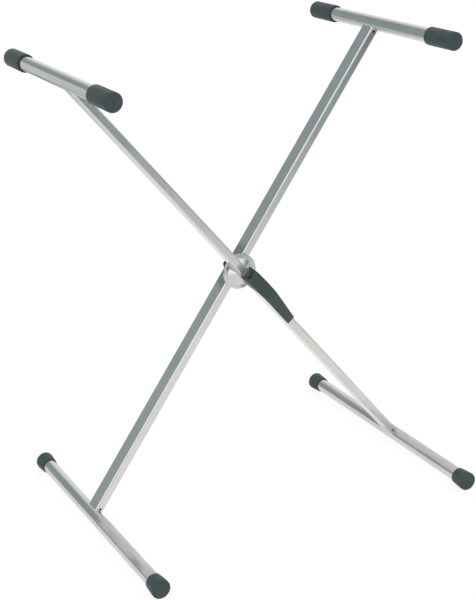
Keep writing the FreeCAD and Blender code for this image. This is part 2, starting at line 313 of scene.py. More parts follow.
class MaterialGraph(Graph):
    """Nodes of one material, with the patterns that the finishes share."""

    NOISE_ROUGHNESS = 0.55
    EDGE_SPAN: Span = (0.01, 0.2)
    EDGE_SAMPLES = 4
    HOLLOW_SPAN: Span = (0.85, 0.15)
    HOLLOW_SAMPLES = 6

    def __init__(self, material: bpy.types.Material) -> None:
        """Start on a material.

        Args:
            material: the material, whose nodes are emptied.
        """
        material.use_nodes = True
        super().__init__(material.node_tree)
        self.place = self.add("ShaderNodeTexCoord").outputs["Object"]

    def turned_place(self, grain: Grain) -> bpy.types.NodeSocket:
        """Give the place on a leg, from the pivot, with Z along the tube.

        Args:
            grain: which leg the lines run along; other grains leave the place unturned.

        Returns:
            A vector socket.
        """
        turns = {Grain.ALONG_FRONT_LEG: STANCE.lean, Grain.ALONG_REAR_LEG: -STANCE.lean}
        turn = turns.get(grain, 0.0)
        pivot = Matrix.Rotation(turn, 3, "Y") @ Vector((0, 0, STANCE.pivot_height))
        inputs = {"Vector": self.place, "Location": -pivot, "Rotation": (0, turn, 0)}
        return self.add("ShaderNodeMapping", None, inputs).outputs[0]

    def noise(
        self,
        place: bpy.types.NodeSocket,
        scale: tuple[float, float, float] | float,
        detail: float = 2.0,
        seed: float = 0.0,
    ) -> Expr:
        """Add a noise pattern.

        Args:
            place: the vector it is read at.
            scale: cells in each metre, one number or one for each axis.
            detail: octaves.
            seed: moves the pattern, so that two of them differ.

        Returns:
            The noise, about 0.5 in the middle.
        """
        scales = (scale,) * 3 if isinstance(scale, (int, float)) else scale
        settings = {"operation": "MULTIPLY_ADD"}
        stretched = self.add("ShaderNodeVectorMath", settings, {0: place, 1: scales, 2: (seed,) * 3})
        inputs = {"Vector": stretched.outputs[0], "Scale": 1.0, "Detail": detail}
        inputs["Roughness"] = self.NOISE_ROUGHNESS
        return Expr(self, self.add("ShaderNodeTexNoise", None, inputs).outputs[0])

    def relief(self, height: Expr, depth: float, strength: float) -> bpy.types.NodeSocket:
        """Turn a height into a bumped normal.

        Args:
            height: the height, 0 to 1.
            depth: what a height of 1 is, in metres.
            strength: how much of it shows.

        Returns:
            A normal socket.
        """
        inputs = {"Height": height, "Distance": depth, "Strength": strength}
        return self.add("ShaderNodeBump", None, inputs).outputs[0]

    def edge(self, radius: float) -> Expr:
        """Find convex and concave edges.

        Args:
            radius: how far from an edge the mask begins to rise.

        Returns:
            A mask that is 0 on flat ground and rises towards an edge.
        """
        soft = self.add("ShaderNodeBevel", {"samples": self.EDGE_SAMPLES}, {"Radius": radius}).outputs[0]
        true = self.add("ShaderNodeNewGeometry").outputs["True Normal"]
        node = self.add("ShaderNodeVectorMath", {"operation": "DOT_PRODUCT"}, {0: soft, 1: true})
        return (1.0 - Expr(self, node.outputs["Value"])).step(*self.EDGE_SPAN)

    def hollow(self, reach: float) -> Expr:
        """Find places that are shut in.

        Args:
            reach: how far off a wall may be and still count.

        Returns:
            A mask that is 0 in the open and 1 deep in a gap.
        """
        node = self.add("ShaderNodeAmbientOcclusion", {"samples": self.HOLLOW_SAMPLES}, {"Distance": reach})
        return Expr(self, node.outputs["AO"]).step(*self.HOLLOW_SPAN)

    def surface(self, **inputs: Any) -> None:
        """Finish with a principled shader.

        Args:
            inputs: values or links, by the name of the socket with _ for a space.
        """
        named = {name.replace("_", " "): value for name, value in inputs.items()}
        shader = self.add("ShaderNodeBsdfPrincipled", None, named)
        self.add("ShaderNodeOutputMaterial", None, {"Surface": shader.outputs[0]})


def new_graph(name: str) -> tuple[bpy.types.Material, MaterialGraph]:
    """Start a material and its graph."""
    material = bpy.data.materials.new(name)
    return material, MaterialGraph(material)


@dataclass(frozen=True)
class PlatedTube:
    """Satin nickel plate on drawn or polished steel tube."""

    slot: str = "plated_tube"
    tint: Colour = (0.735, 0.722, 0.700)
    shade: Colour = (0.665, 0.664, 0.655)
    tone_span: Span = (0.3, 0.7)
    cloud_share: float = 0.7
    roughness: float = 0.17
    least_roughness: float = 0.08
    line_width: float = 0.35 * MM
    line_length: float = 45 * MM
    line_depth: float = 0.012 * MM
    line_strength: float = 0.25
    line_swing: float = 0.10
    cloud_size: float = 60 * MM
    cloud_swing: float = 0.12
    speck_size: float = 1.6 * MM
    speck_span: Span = (0.68, 0.78)
    speck_dulling: float = 0.05
    rubbed: Colour = (0.64, 0.636, 0.628)
    scuff: float = 0.36
    scuff_top: Span = (45 * MM, 40 * MM)
    scuff_side: Span = (23.4 * MM, 25.4 * MM)
    scuff_start: Span = (0.0, -45 * MM)
    scuff_mottle: Span = (0.25, 0.55)
    scuff_least: float = 0.5
    ankle: Span = (-400 * MM, -450 * MM)
    ankle_scuff: float = 0.16
    grip: Span = (42 * MM, 30 * MM)
    grip_end: Span = (0.0, 10 * MM)
    grip_scuff: float = 0.32
    crossing_shade: Colour = (0.36, 0.375, 0.375)
    oil_strength: float = 0.8
    crossing_shade_span: Span = (54 * MM, 36 * MM)
    crossing_shade_wander: float = 36 * MM
    crossing_shade_side: Span = (9 * MM, 10 * MM)

    def crossing_shade_mask(self, graph: MaterialGraph, mottle: Expr) -> Expr:
        """Find where shade is painted on the sides of the rear tube, close to the discs.

        Args:
            graph: the material's nodes.
            mottle: makes the mark uneven.

        Returns:
            A mask.
        """
        place = graph.turned_place(Grain.ROUND_THE_PIVOT)
        across, away, up = (graph.part(place, axis) for axis in "XYZ")
        radius = (across * across + up * up) ** 0.5
        near = (radius + mottle.swing(self.crossing_shade_wander)).step(*self.crossing_shade_span)
        return near * away.step(*self.crossing_shade_side)

    def scuffed(self, graph: MaterialGraph, mottle: Expr) -> Expr:
        """Find where shoes have rubbed the near halves of the feet, along their tops.

        Args:
            graph: the material's nodes.
            mottle: makes the mark uneven.

        Returns:
            A mask.
        """
        away, up = graph.part(graph.place, "Y"), graph.part(graph.place, "Z")
        low = up.step(*self.scuff_top) * up.step(*self.scuff_side)
        uneven = mottle.step(*self.scuff_mottle) * (1 - self.scuff_least) + self.scuff_least
        return low * away.step(*self.scuff_start) * uneven

    def handled(self, along: Expr) -> Expr:
        """Find how much duller the front leg is near its foot and where the lever is worked.

        Args:
            along: the place along the leg, from the pivot.

        Returns:
            What is added to the roughness.
        """
        grip = along.step(*self.grip) * along.step(*self.grip_end)
        return along.step(*self.ankle) * self.ankle_scuff + grip * self.grip_scuff

    def material(self, grain: Grain) -> bpy.types.Material:
        """Make the finish.

        Args:
            grain: which way the fine lines run.

        Returns:
            The material.
        """
        material, graph = new_graph("plated tube, " + grain.value)
        place = graph.turned_place(grain)
        fine, long = 1 / self.line_width, 1 / self.line_length
        round_bar = grain is Grain.ROUND_THE_BAR
        lines = graph.noise(place, (long, fine, long) if round_bar else (fine, fine, long), detail=3.0)
        cloud = graph.noise(graph.place, 1 / self.cloud_size, detail=3.0, seed=3.7)
        specks = graph.noise(graph.place, 1 / self.speck_size, detail=1.0, seed=9.1).step(*self.speck_span)
        tone = cloud * self.cloud_share + lines * (1 - self.cloud_share)
        colour = graph.blend(tone.step(*self.tone_span), self.shade, self.tint)
        # painted shade on the rear tube's sides close to the discs
        colour = graph.blend(self.crossing_shade_mask(graph, cloud) * self.oil_strength, colour, self.crossing_shade)
        scuffed = self.scuffed(graph, cloud)
        colour = graph.blend(scuffed, colour, self.rubbed)
        rough = self.roughness + lines.swing(self.line_swing) + cloud.swing(self.cloud_swing)
        rough = rough + specks * self.speck_dulling + scuffed * self.scuff
        if grain is Grain.ALONG_FRONT_LEG:
            rough = rough + self.handled(graph.part(place, "Z"))
        graph.surface(
            Base_Color=colour, Metallic=1.0, Roughness=rough.larger(self.least_roughness),
            Normal=graph.relief(lines, self.line_depth, self.line_strength),
        )
        return material


@dataclass(frozen=True)
class TurnedSteel:
    """Turned and plated steel, with lines round the pivot or fine clouds where it is pressed, and painted
    shade between the disc teeth and on the saddle under the lever.
    """

    slot: str = "turned_steel"
    tint: Colour = (0.70, 0.70, 0.69)
    shade: Colour = (0.60, 0.62, 0.62)
    tone_span: Span = (0.2, 0.8)
    tone_lift: float = 0.15
    roughness: float = 0.18
    line_pitch: float = 0.23 * MM
    line_share: float = 0.2
    line_depth: float = 0.004 * MM
    line_strength: float = 0.12
    line_swing: float = 0.05
    wander: float = 0.6
    wander_size: float = 4 * MM
    press_grain: float = 0.4 * MM
    cloud_size: float = 9 * MM
    cloud_share: float = 0.5
    cloud_swing: float = 0.08
    hollow_shading: Colour = (0.07, 0.075, 0.075)
    grime_strength: float = 0.9
    hollow_shading_reach: float = 9 * MM
    tooth_zone: Span = (4 * MM, 3 * MM)
    grease: Colour = (0.26, 0.30, 0.30)
    saddle_shade_strength: float = 0.95
    saddle_shade_span: Span = (21 * MM, 16 * MM)
    saddle_shade_wander: float = 3 * MM
    painted_shade_cover: float = 0.8
    painted_shade_dulling: float = 0.15

    def material(self, grain: Grain) -> bpy.types.Material:
        """Make the finish.

        Args:
            grain: round the pivot for a turned face, anything else for a pressed one.

        Returns:
            The material.
        """
        material, graph = new_graph("turned steel, " + grain.value)
        place = graph.turned_place(grain)
        cloud = graph.noise(graph.place, 1 / self.cloud_size, seed=1.3)
        if grain is Grain.ROUND_THE_PIVOT:
            across, away, up = (graph.part(place, axis) for axis in "XYZ")
            radius = (across * across + up * up) ** 0.5
            wander = graph.noise(graph.place, 1 / self.wander_size, detail=1.0, seed=5.0) * self.wander
            lines = (radius * (2 * math.pi / self.line_pitch) + wander).sine() * 0.5 + 0.5
            between = ((away * away) ** 0.5).step(*self.tooth_zone)
            # painted shade in the hollows where the two discs' teeth meet
            dark, painted_shade = self.hollow_shading, graph.hollow(self.hollow_shading_reach) * between * self.grime_strength
        else:
            lines = graph.noise(place, 1 / self.press_grain, seed=2.2)
            # painted shade over the saddle, up to where it comes out from under the lever
            along = graph.part(place, "Z") + cloud.swing(self.saddle_shade_wander)
            dark, painted_shade = self.grease, along.step(*self.saddle_shade_span) * self.saddle_shade_strength
        tone = cloud * self.cloud_share + lines * self.line_share + self.tone_lift
        colour = graph.blend(tone.step(*self.tone_span), self.shade, self.tint)
        rough = self.roughness + lines.swing(self.line_swing) + cloud.swing(self.cloud_swing)
        graph.surface(
            Base_Color=graph.blend(painted_shade, colour, dark), Metallic=1.0 - painted_shade * self.painted_shade_cover,
            Roughness=rough + painted_shade * self.painted_shade_dulling,
            Normal=graph.relief(lines, self.line_depth, self.line_strength),
        )
        return material


@dataclass(frozen=True)
class PlainSteel:
    """Zinc plated small parts, with painted shading in their hollows: shade where that colour is dark,
    light where it is pale.
    """

    slot: str = "plain_steel"
    name: str = "plain steel"
    tint: Colour = (0.62, 0.62, 0.60)
    shade: Colour = (0.46, 0.47, 0.47)
    tone_span: Span = (0.35, 0.65)
    spangle_size: float = 5 * MM
    roughness: float = 0.34
    mottle_size: float = 1.1 * MM
    mottle_swing: float = 0.2
    mottle_depth: float = 0.02 * MM
    mottle_strength: float = 0.25
    hollow_shading: Colour = (0.05, 0.055, 0.055)
    grime_strength: float = 0.9
    hollow_shading_reach: float = 9 * MM

    def material(self) -> bpy.types.Material:
        """Make the finish.

        Returns:
            The material.
        """
        material, graph = new_graph(self.name)
        mottle = graph.noise(graph.place, 1 / self.mottle_size, detail=3.0, seed=4.4)
        spangle = graph.noise(graph.place, 1 / self.spangle_size, seed=8.2)
        tone = mottle * 0.5 + spangle * 0.5
        colour = graph.blend(tone.step(*self.tone_span), self.shade, self.tint)
        # painted shading in the hollows: shade for a dark colour, light for a pale one
        colour = graph.blend(graph.hollow(self.hollow_shading_reach) * self.grime_strength, colour, self.hollow_shading)
        graph.surface(
            Base_Color=colour, Metallic=1.0, Roughness=self.roughness + mottle.swing(self.mottle_swing),
            Normal=graph.relief(mottle, self.mottle_depth, self.mottle_strength),
        )
        return material


@dataclass(frozen=True)
class BlackSteel:
    """Black oxide on the nut and its washer, rubbed to grey at the corners."""

    tint: Colour = (0.042, 0.054, 0.055)
    rubbed: Colour = (0.16, 0.17, 0.17)
    rubbed_span: Span = (0.35, 0.75)
    edge_width: float = 0.5 * MM
    bare_metal: float = 0.2
    roughness: float = 0.42
    mottle_size: float = 0.8 * MM
    mottle_swing: float = 0.2
    mottle_depth: float = 0.02 * MM
    mottle_strength: float = 0.2

    def material(self) -> bpy.types.Material:
        """Make the finish.

        Returns:
            The material.
        """
        material, graph = new_graph("black steel")
        mottle = graph.noise(graph.place, 1 / self.mottle_size, detail=3.0, seed=6.1)
        worn_and_highlit = graph.edge(self.edge_width) * mottle.step(*self.rubbed_span)
        graph.surface(
            Base_Color=graph.blend(worn_and_highlit, self.tint, self.rubbed), Metallic=self.bare_metal,
            Roughness=self.roughness + mottle.swing(self.mottle_swing),
            Normal=graph.relief(mottle, self.mottle_depth, self.mottle_strength),
        )
        return material


@dataclass(frozen=True)
class MouldedRubber:
    """Matt moulded rubber with a fine skin, a little dust that has settled on it, and painted highlights on
    its rounded edges.
    """

    slot: str = "rubber"
    tint: Colour = (0.046, 0.0715, 0.073)
    dust_and_hollow_light: Colour = (0.083, 0.108, 0.109)
    dust_span: Span = (0.42, 0.72)
    dust_specks: float = 0.55
    dust_film: float = 0.2
    worn_and_highlit: Colour = (0.15, 0.175, 0.174)
    rim_highlight_width: float = 0.6 * MM
    rim_wear: float = 0.8
    roughness: float = 0.58
    specular: float = 0.26
    sheen: float = 0.15
    sheen_roughness: float = 0.35
    cloud_size: float = 14 * MM
    cloud_swing: float = 0.15
    speck_size: float = 1.3 * MM
    speck_span: Span = (0.56, 0.74)
    skin: float = 0.45 * MM
    skin_share: float = 0.5
    skin_depth: float = 0.08 * MM
    skin_strength: float = 0.35
    skin_swing: float = 0.12
    peel: float = 2.4 * MM

    def material(self) -> bpy.types.Material:
        """Make the finish.

        Returns:
            The material.
        """
        material, graph = new_graph("moulded rubber")
        skin = graph.noise(graph.place, 1 / self.skin, detail=3.0, seed=2.5)
        cloud = graph.noise(graph.place, 1 / self.cloud_size, detail=3.0, seed=7.7)
        specks = graph.noise(graph.place, 1 / self.speck_size, seed=5.9).step(*self.speck_span)
        settled = cloud.step(*self.dust_span) * (specks * self.dust_specks + self.dust_film)
        peel = graph.noise(graph.place, 1 / self.peel, seed=3.3)
        # painted highlight: paler specks on the rounded edges and round the gate marks
        rim_highlight = graph.edge(self.rim_highlight_width) * specks * self.rim_wear
        colour = graph.blend(settled, self.tint, self.dust_and_hollow_light)
        graph.surface(
            Base_Color=graph.blend(rim_highlight, colour, self.worn_and_highlit),
            Roughness=self.roughness + cloud.swing(self.cloud_swing) + skin.swing(self.skin_swing),
            Specular_IOR_Level=self.specular, Sheen_Weight=self.sheen, Sheen_Roughness=self.sheen_roughness,
            Normal=graph.relief(skin * self.skin_share + peel, self.skin_depth, self.skin_strength),
        )
        return material


@dataclass(frozen=True)
class GrainedPlastic:
    """Black moulded plastic with a fine even grain, paler along its edges where they wear, and with light
    painted into its hollows.
    """

    tint: Colour = (0.042, 0.0665, 0.068)
    worn_and_highlit: Colour = (0.085, 0.105, 0.104)
    edge_width: float = 0.9 * MM
    edge_span: Span = (0.35, 0.65)
    edge_wear: float = 0.7
    dust_and_hollow_light: Colour = (0.42, 0.47, 0.47)
    hollow_light_reach: float = 12 * MM
    roughness: float = 0.5
    specular: float = 0.36
    cloud_size: float = 20 * MM
    cloud_swing: float = 0.14
    grain: float = 0.6 * MM
    grain_tone: float = 0.12
    grain_depth: float = 0.05 * MM
    grain_strength: float = 0.4
    grain_swing: float = 0.16

    def material(self) -> bpy.types.Material:
        """Make the finish.

        Returns:
            The material.
        """
        material, graph = new_graph("grained plastic")
        grain = graph.noise(graph.place, 1 / self.grain, seed=1.9)
        cloud = graph.noise(graph.place, 1 / self.cloud_size, seed=4.2)
        edge = graph.edge(self.edge_width) * cloud.step(*self.edge_span)
        colour = graph.blend(edge * self.edge_wear + grain.swing(self.grain_tone), self.tint, self.worn_and_highlit)
        # painted light: a paler colour inside the lever's hollows stands in for light there
        graph.surface(
            Base_Color=graph.blend(graph.hollow(self.hollow_light_reach), colour, self.dust_and_hollow_light),
            Roughness=self.roughness + grain.swing(self.grain_swing) + cloud.swing(self.cloud_swing),
            Specular_IOR_Level=self.specular,
            Normal=graph.relief(grain, self.grain_depth, self.grain_strength),
        )
        return material


def give_finish(
    nodes: dict[str, bpy.types.Object], names: Sequence[str], material: bpy.types.Material
) -> None:
    """Dress solids in a finish.

    Args:
        nodes: the stand's solids by name.
        names: the solids to dress.
        material: the finish.
    """
    for name in names:
        nodes[name].material_slots[0].material = material
        LOG.info("%s is dressed in %s", name, material.name)


def rounded(corners: Sequence[Corner], steps: int = 7) -> Outline:
    """Round the corners of an open outline, but for its two ends.

    Args:
        corners: (radius, y, rounding) of each corner.
        steps: points to each arc, less one.

    Returns:
        The points of the outline.
    """
    points: Outline = []
    for index, (radius, y, rounding) in enumerate(corners):
        here = Vector((radius, y))
        at_end = index in (0, len(corners) - 1)
        if rounding == 0 or at_end:
            points.append((radius, y))
            continue
        back = (Vector(corners[index - 1][:2]) - here).normalized()
        ahead = (Vector(corners[index + 1][:2]) - here).normalized()
        half = back.angle(ahead) / 2
        centre = here + (back + ahead).normalized() * (rounding / math.sin(half))
        start = here + back * (rounding / math.tan(half)) - centre
        sweep = start.angle_signed(here + ahead * (rounding / math.tan(half)) - centre)
        for step in range(steps + 1):
            turned = Matrix.Rotation(-sweep * step / steps, 2) @ start
            points.append(tuple(centre + turned))
    return points


def lathe(
    outline: Outline,
    segments: int,
    closed: bool,
    swell: Callable[[float, float, float], float] = lambda turn, radius, y: 0.0,
) -> bmesh.types.BMesh:
    """Turn an outline round the Y axis.

    Args:
        outline: (radius, y) points; a radius of 0 is a pole.
        segments: steps round the axis.
        closed: whether the outline is a ring, or runs from pole to pole.
        swell: gives what is added to the radius at a turn, radius and y.

    Returns:
        A closed mesh whose faces point outwards.
    """
    body = bmesh.new()
    rings = []
    for radius, y in outline:
        if radius < POLE_RADIUS:
            rings.append([body.verts.new((0, y, 0))])
            continue
        ring = []
        for step in range(segments):
            turn = 2 * math.pi * step / segments
            out = radius + swell(turn, radius, y)
            ring.append(body.verts.new((out * math.cos(turn), y, out * math.sin(turn))))
        rings.append(ring)
    pairs = list(zip(rings, rings[1:] + rings[:1])) if closed else list(zip(rings, rings[1:]))
    for first, second in pairs:
        for step in range(segments):
            after = (step + 1) % segments
            corners = [first[step % len(first)], first[after % len(first)]]
            corners += [second[after % len(second)], second[step % len(second)]]
            body.faces.new(list(dict.fromkeys(corners)))
    bmesh.ops.recalc_face_normals(body, faces=body.faces)
    return body


def new_piece(
    name: str, body: bmesh.types.BMesh, material: bpy.types.Material, sharp: float
) -> bpy.types.Object:
    """Make an object of a mesh, smooth but for its sharp edges.

    Args:
        name: name of the piece.
        body: its mesh, in the stand's frame; it is freed.
        material: its finish.
        sharp: angle in degrees past which an edge stays sharp.

    Returns:
        The object, at the origin.
    """
    mesh = bpy.data.meshes.new(name)
    body.to_mesh(mesh)
    body.free()
    mesh.materials.append(material)
    mesh.shade_smooth()
    mesh.set_sharp_from_angle(angle=math.radians(sharp))
    piece = bpy.data.objects.new(name, mesh)
    bpy.context.scene.collection.objects.link(piece)
    return piece


def settle(piece: bpy.types.Object, body: str, slot: str, *nodes: str) -> None:
    """Let a piece ride on a body, and hide the solids that it takes the place of.

    Args:
        piece: the piece.
        body: name of the moving body.
        slot: name of the finish in the record; it is not used.
        nodes: the solids that it takes the place of, if any.
    """
    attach(piece, body)
    if nodes:
        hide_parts(*nodes)
    LOG.info("%s rides on %s, %d faces", piece.name, body, len(piece.data.polygons))


class Growth(Graph):
    """A geometry tree: what it is given, what it repeats, and how it is finished."""

    SOCKETS = {
        "Geometry": "NodeSocketGeometry", "Material": "NodeSocketMaterial",
        "Count": "NodeSocketInt", "Seed": "NodeSocketInt",
    }

    def __init__(self, name: str, *sizes: str) -> None:
        """Start a tree.

        Args:
            name: name of the tree.
            sizes: names of its inputs, which are plain numbers unless SOCKETS says otherwise.
        """
        tree = bpy.data.node_groups.new(name, "GeometryNodeTree")
        super().__init__(tree)
        for size in ("Geometry", *sizes, "Material"):
            kind = self.SOCKETS.get(size, "NodeSocketFloat")
            tree.interface.new_socket(size, in_out="INPUT", socket_type=kind)
        tree.interface.new_socket("Geometry", in_out="OUTPUT", socket_type="NodeSocketGeometry")
        self.given = self.add("NodeGroupInput").outputs

    def end(self, geometry: bpy.types.NodeSocket) -> None:
        """Realize the copies, give them the finish and end the tree.

        Args:
            geometry: what the tree has made.
        """
        real = self.add("GeometryNodeRealizeInstances", None, {0: geometry}).outputs[0]
        inputs = {"Geometry": real, "Material": self.given["Material"]}
        dressed = self.add("GeometryNodeSetMaterial", None, inputs).outputs[0]
        self.add("NodeGroupOutput", None, {0: dressed})

    def apply(self, start: bmesh.types.BMesh, **values: Any) -> bpy.types.Mesh:
        """Grow a mesh.

        Args:
            start: mesh that the tree is given; it is freed.
            values: the tree's inputs by name.

        Returns:
            A plain mesh.
        """
        mesh = bpy.data.meshes.new(self.tree.name)
        start.to_mesh(mesh)
        start.free()
        seed = bpy.data.objects.new(self.tree.name, mesh)
        bpy.context.scene.collection.objects.link(seed)
        modifier = seed.modifiers.new(self.tree.name, "NODES")
        modifier.node_group = self.tree
        for item in self.tree.interface.items_tree:
            if item.in_out == "INPUT" and item.name in values:
                modifier[item.identifier] = values[item.name]
        graph = bpy.context.evaluated_depsgraph_get()
        grown = bpy.data.meshes.new_from_object(seed.evaluated_get(graph))
        seed.modifiers.remove(modifier)
        bpy.data.objects.remove(seed)
        bpy.data.meshes.remove(mesh)
        return grown


class WeldBead(Growth):
    """Overlapping ripples of weld metal along a line."""

    FLATTENED = (1.0, 1.0, 0.75)
    LEAST_SIZE = 0.9
    MOST_SIZE = 1.1

    def __init__(self) -> None:
        """Build the tree."""
        super().__init__("weld_bead", "Pitch", "Radius", "Seed")
        curve = self.add("GeometryNodeMeshToCurve", None, {0: self.given["Geometry"]}).outputs[0]
        settings = {"mode": "LENGTH"}
        inputs = {"Curve": curve, "Length": self.given["Pitch"]}
        points = self.add("GeometryNodeResampleCurve", settings, inputs).outputs[0]
        tangent = self.add("GeometryNodeInputTangent").outputs[0]
        along = self.add("FunctionNodeAlignRotationToVector", {"axis": "Z"}, {"Vector": tangent})
        inputs = {"Segments": 10, "Rings": 5, "Radius": self.given["Radius"]}
        ball = self.add("GeometryNodeMeshUVSphere", None, inputs).outputs[0]
        inputs = {"Geometry": ball, "Scale": self.FLATTENED}
        ripple = self.add("GeometryNodeTransform", None, inputs).outputs[0]
        smooth = self.add("GeometryNodeSetShadeSmooth", None, {0: ripple}).outputs[0]
        inputs = {2: self.LEAST_SIZE, 3: self.MOST_SIZE, 8: self.given["Seed"]}
        size = self.add("FunctionNodeRandomValue", {"data_type": "FLOAT"}, inputs).outputs[1]
        inputs = {"Points": points, "Instance": smooth, "Rotation": along.outputs[0], "Scale": size}
        self.end(self.add("GeometryNodeInstanceOnPoints", None, inputs).outputs[0])


class ToothRing(Growth):
    """One tooth, repeated evenly round the Y axis."""

    def __init__(self) -> None:
        """Build the tree."""
        super().__init__("tooth_ring", "Count")
        points = self.add("GeometryNodePoints", None, {"Count": self.given["Count"]}).outputs[0]
        index = Expr(self, self.add("GeometryNodeInputIndex").outputs[0])
        angle = index * (2 * math.pi) / self.given["Count"]
        inputs = {"Axis": (0, 1, 0), "Angle": angle}
        turn = self.add("FunctionNodeAxisAngleToRotation", None, inputs).outputs[0]
        inputs = {"Points": points, "Instance": self.given["Geometry"], "Rotation": turn}
        self.end(self.add("GeometryNodeInstanceOnPoints", None, inputs).outputs[0])


class ScrewThread(Growth):
    """A ridge that winds round the Z axis."""

    def __init__(self) -> None:
        """Build the tree."""
        super().__init__("screw_thread", "Radius", "Turns", "Height", "Ridge")
        inputs = {"Resolution": 40, "Rotations": self.given["Turns"], "Height": self.given["Height"]}
        inputs |= {"Start Radius": self.given["Radius"], "End Radius": self.given["Radius"]}
        helix = self.add("GeometryNodeCurveSpiral", None, inputs).outputs[0]
        inputs = {"Resolution": 4, "Radius": self.given["Ridge"]}
        ridge = self.add("GeometryNodeCurvePrimitiveCircle", None, inputs).outputs[0]
        inputs = {"Curve": helix, "Profile Curve": ridge, "Fill Caps": True}
        self.end(self.add("GeometryNodeCurveToMesh", None, inputs).outputs[0])


@dataclass
class RubberEnds:
    """The sleeves on the arms and the caps on the feet."""

    bar_radius: float = 12.5 * MM
    fit: float = 0.05 * MM
    arm_length: float = 411 * MM
    foot_length: float = 500 * MM
    sleeve_radius: float = 15.5 * MM
    sleeve_length: float = 65 * MM
    sleeve_floor: float = 4 * MM
    sleeve_rounding: float = 3.5 * MM
    cap_end_radius: float = 16.5 * MM
    cap_mouth_radius: float = 14.5 * MM
    cap_length: float = 29 * MM
    cap_floor: float = 5 * MM
    cap_land: float = 8 * MM
    cap_rounding: float = 3 * MM
    mouth_rounding: float = 0.8 * MM
    bore_rounding: float = 0.15 * MM
    seam_turn: float = math.radians(38)
    seam_height: float = 0.12 * MM
    seam_width: float = 0.45 * MM
    seam_clear: float = 1 * MM
    gate_radius: float = 2.2 * MM
    gate_depth: float = 0.6 * MM
    gate_rounding: float = 0.1 * MM
    gate_rim: float = 0.15 * MM
    segments: int = 168
    finish: MouldedRubber = MouldedRubber()

    def seam(self, turn: float, radius: float, y: float) -> float:
        """Give the height of the two mould seams, which run outside from the closed end to the mouth.

        Args:
            turn: turn round the bar.
            radius: distance from the bar's middle.
            y: place along the bar, which makes no difference.

        Returns:
            What is added to the radius.
        """
        if radius < self.bar_radius + self.seam_clear:
            return 0.0
        away = abs((turn - self.seam_turn + math.pi / 2) % math.pi - math.pi / 2) * radius
        return self.seam_height * math.exp(-((away / self.seam_width) ** 2))

    def turned(self, outside: list[Corner], floor: float) -> bmesh.types.BMesh:
        """Turn a rubber end, with its closed end at y = 0 and a sunk gate mark in the middle of that.

        Args:
            outside: corners of the outside, from the closed end to the mouth.
            floor: thickness of the closed end.

        Returns:
            A closed mesh.
        """
        gate = [
            (0, self.gate_depth, 0),
            (self.gate_radius, self.gate_depth, self.gate_rounding),
            (self.gate_radius + self.gate_depth, 0, self.gate_rim),
        ]
        bore = self.bar_radius + self.fit
        mouth = outside[-1][1]
        inside = [(bore, mouth, self.bore_rounding), (bore, floor, 0), (0, floor, 0)]
        return lathe(rounded(gate + outside + inside), self.segments, False, self.seam)

    def sleeve(self) -> bmesh.types.BMesh:
        """Turn a sleeve for an arm.

        Returns:
            A closed mesh.
        """
        outside = [
            (self.sleeve_radius, 0, self.sleeve_rounding),
            (self.sleeve_radius, self.sleeve_length, self.mouth_rounding),
        ]
        return self.turned(outside, self.sleeve_floor)

    def cap(self) -> bmesh.types.BMesh:
        """Turn a cap for a foot.

        Returns:
            A closed mesh.
        """
        outside = [
            (self.cap_end_radius, 0, self.cap_rounding),
            (self.cap_end_radius, self.cap_land, self.cap_land / 2),
            (self.cap_mouth_radius, self.cap_length, self.mouth_rounding),
        ]
        return self.turned(outside, self.cap_floor)

    def build(self) -> None:
        """Put a sleeve on each end of the arms and a cap on each end of the feet."""
        material = self.finish.material()
        kinds = (
            ("arm_sleeve", self.sleeve, STANCE.arm_reach, self.arm_length),
            ("foot_cap", self.cap, -STANCE.foot_reach, self.foot_length),
        )
        for leg in Leg:
            for kind, shape, reach, length in kinds:
                for end in End:
                    node = f"{leg.prefix}_{kind}_{end.value}"
                    body = shape()
                    frame = STANCE.bar_frame(leg, reach, end)
                    body.transform(frame @ Matrix.Translation((0, -length / 2, 0)))
                    piece = new_piece("moulded_" + node, body, material, sharp=40)
                    settle(piece, leg.value, self.finish.slot, node)


